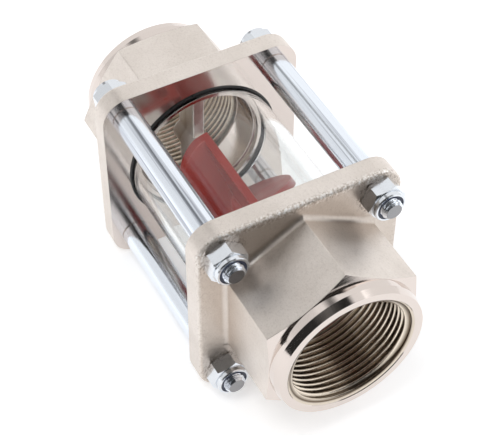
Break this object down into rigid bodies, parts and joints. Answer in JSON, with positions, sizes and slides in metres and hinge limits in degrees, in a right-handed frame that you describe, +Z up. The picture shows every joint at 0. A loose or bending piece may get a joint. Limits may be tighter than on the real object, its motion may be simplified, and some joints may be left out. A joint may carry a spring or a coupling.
{
  "type": "impeller flow indicator",
  "caption": "In-line flow indicator with a glass tube clamped between square flanges by tie rods, a red spinning impeller and threaded pipe ports.",
  "frame": {"origin": "middle of the sight glass on the flow axis, which is the centre of the whole part", "axes": "+X along the flow axis towards the front port, +Z up, +Y to the right when looking back along -X at the front port"},
  "size_m": [0.1552, 0.08, 0.08],
  "materials": {
    "plated_brass": "satin nickel plate on brass",
    "clear_glass": "clear polished",
    "black_rubber": "smooth",
    "red_plastic": "semi-gloss moulded",
    "bright_steel": "ground",
    "white_plastic": "plain",
    "nylon_ring": "plain",
    "plated_rod": "bright zinc plate",
    "plated_nut": "bright zinc plate"
  },
  "bodies": {
    "housing": {"back_bush": "white_plastic", "back_fitting": "plated_brass", "back_nut_lower_left": "plated_nut", "back_nut_lower_right": "plated_nut", "back_nut_ring_lower_left": "nylon_ring", "back_nut_ring_lower_right": "nylon_ring", "back_nut_ring_upper_left": "nylon_ring", "back_nut_ring_upper_right": "nylon_ring", "back_nut_upper_left": "plated_nut", "back_nut_upper_right": "plated_nut", "back_seal": "black_rubber", "front_bush": "white_plastic", "front_fitting": "plated_brass", "front_nut_lower_left": "plated_nut", "front_nut_lower_right": "plated_nut", "front_nut_ring_lower_left": "nylon_ring", "front_nut_ring_lower_right": "nylon_ring", "front_nut_ring_upper_left": "nylon_ring", "front_nut_ring_upper_right": "nylon_ring", "front_nut_upper_left": "plated_nut", "front_nut_upper_right": "plated_nut", "front_seal": "black_rubber", "sight_glass": "clear_glass", "tie_rod_lower_left": "plated_rod", "tie_rod_lower_right": "plated_rod", "tie_rod_upper_left": "plated_rod", "tie_rod_upper_right": "plated_rod"},
    "rotor": {"impeller": "red_plastic", "impeller_shaft": "bright_steel"}
  },
  "joints": [
    {"name": "rotor_spin", "type": "hinge", "parent": "housing", "child": "rotor", "pos_m": [0, 0, 0], "axis": [1, 0, 0], "continuous": true}
  ]
}
